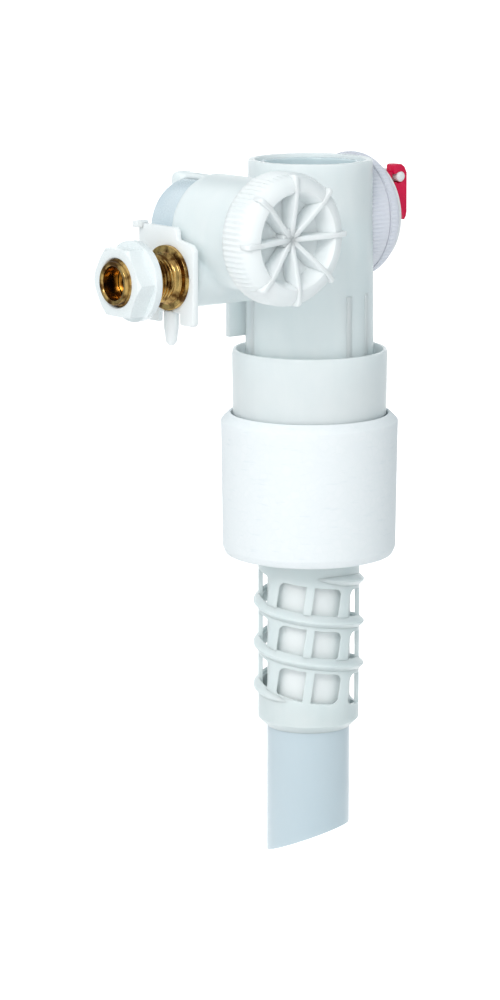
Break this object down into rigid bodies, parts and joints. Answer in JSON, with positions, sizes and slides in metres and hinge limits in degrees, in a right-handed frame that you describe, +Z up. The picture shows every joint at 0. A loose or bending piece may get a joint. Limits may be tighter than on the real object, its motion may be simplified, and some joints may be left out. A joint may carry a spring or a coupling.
{
  "type": "float valve",
  "caption": "Side-inlet float valve with a coaxial float on a down tube, a ribbed screw cap and a trip lever.",
  "frame": {"origin": "centre of the inlet nipple's flange face, which seats on the tank wall", "axes": "+Z up along the barrel, -X out along the inlet nipple, -Y out of the front cap"},
  "size_m": [0.1308, 0.072, 0.2567],
  "materials": {
    "white_plastic": "satin white polypropylene",
    "milky_plastic": "milky, slightly translucent polypropylene",
    "blue_plastic": "pale blue translucent polypropylene",
    "red_plastic": "glossy moulded acetal",
    "foam": "expanded bead foam",
    "brass": "turned brass",
    "steel": "drawn wire",
    "rubber": "moulded rubber"
  },
  "bodies": {
    "body": {"valve_body": "milky_plastic", "rim_ring": "blue_plastic", "outlet_tube": "blue_plastic", "inlet_nipple": "brass", "nipple_o_ring": "rubber", "nipple_plate": "white_plastic", "metering_pin": "steel", "seat_insert": "white_plastic", "back_plug": "blue_plastic", "rear_plug": "white_plastic", "rear_seal": "rubber", "lever_pin": "white_plastic", "flow_regulator": "rubber"},
    "carriage": {"float_cup": "milky_plastic", "float_cage": "milky_plastic", "push_rod": "white_plastic"},
    "float_bush": {"float_bush": "white_plastic"},
    "float": {"float": "foam"},
    "lever": {"pilot_lever": "red_plastic"},
    "pilot": {"pilot_pin": "white_plastic", "pilot_seal": "rubber"},
    "rear_ring": {"rear_ring": "white_plastic"},
    "cap_seal": {"front_cap_seal": "rubber"},
    "front_cap": {"front_cap": "white_plastic"},
    "diaphragm": {"diaphragm": "rubber", "diaphragm_plate": "white_plastic"},
    "nut_washer": {"nut_washer": "white_plastic"},
    "lock_nut": {"lock_nut": "white_plastic"},
    "strainer": {"inlet_strainer": "brass"}
  },
  "joints": [
    {"name": "float_travel", "type": "slide", "parent": "body", "child": "carriage", "axis": [0, 0, 1], "range_m": [0, 0.0035]},
    {"name": "float_height", "type": "slide", "parent": "carriage", "child": "float_bush", "axis": [0, 0, 1], "range_m": [-0.024, 0]},
    {"name": "float_turn", "type": "hinge", "parent": "float_bush", "child": "float", "pos_m": [0.066, 0, -0.08], "axis": [0, 0, 1], "range_deg": [0, 549]},
    {"name": "lever_swing", "type": "hinge", "parent": "body", "child": "lever", "pos_m": [0.104, 0, 0.0285], "axis": [0, 1, 0], "range_deg": [0, 8]},
    {"name": "pilot_travel", "type": "slide", "parent": "body", "child": "pilot", "axis": [-1, 0, 0], "range_m": [0, 0.0019]},
    {"name": "diaphragm_travel", "type": "slide", "parent": "body", "child": "diaphragm", "axis": [0, 1, 0], "range_m": [0, 0.0018]},
    {"name": "rear_ring_turn", "type": "hinge", "parent": "body", "child": "rear_ring", "pos_m": [0.092, 0.005, 0.015], "axis": [1, 0, 0], "range_deg": [0, 45]},
    {"name": "cap_travel", "type": "slide", "parent": "body", "child": "cap_seal", "axis": [0, -1, 0], "range_m": [0, 0.009]},
    {"name": "cap_turn", "type": "hinge", "parent": "cap_seal", "child": "front_cap", "pos_m": [0.0255, -0.03, 0.0145], "axis": [0, -1, 0], "range_deg": [0, 810]},
    {"name": "nut_travel", "type": "slide", "parent": "body", "child": "nut_washer", "axis": [-1, 0, 0], "range_m": [0, 0.009]},
    {"name": "nut_turn", "type": "hinge", "parent": "nut_washer", "child": "lock_nut", "pos_m": [-0.015, 0, 0], "axis": [-1, 0, 0], "range_deg": [0, 2424]},
    {"name": "strainer_pull", "type": "slide", "parent": "body", "child": "strainer", "axis": [-1, 0, 0], "range_m": [0, 0.018]}
  ],
  "couplings": [
    {"joint": "float_turn", "follows": "float_height", "rad_per_m": -398.93},
    {"joint": "lever_swing", "follows": "float_travel", "rad_per_m": 39.395},
    {"joint": "pilot_travel", "follows": "float_travel", "ratio": 0.52857},
    {"joint": "diaphragm_travel", "follows": "float_travel", "ratio": 0.51429},
    {"joint": "cap_turn", "follows": "cap_travel", "rad_per_m": 1570.6},
    {"joint": "nut_turn", "follows": "nut_travel", "rad_per_m": 4699.5}
  ]
}
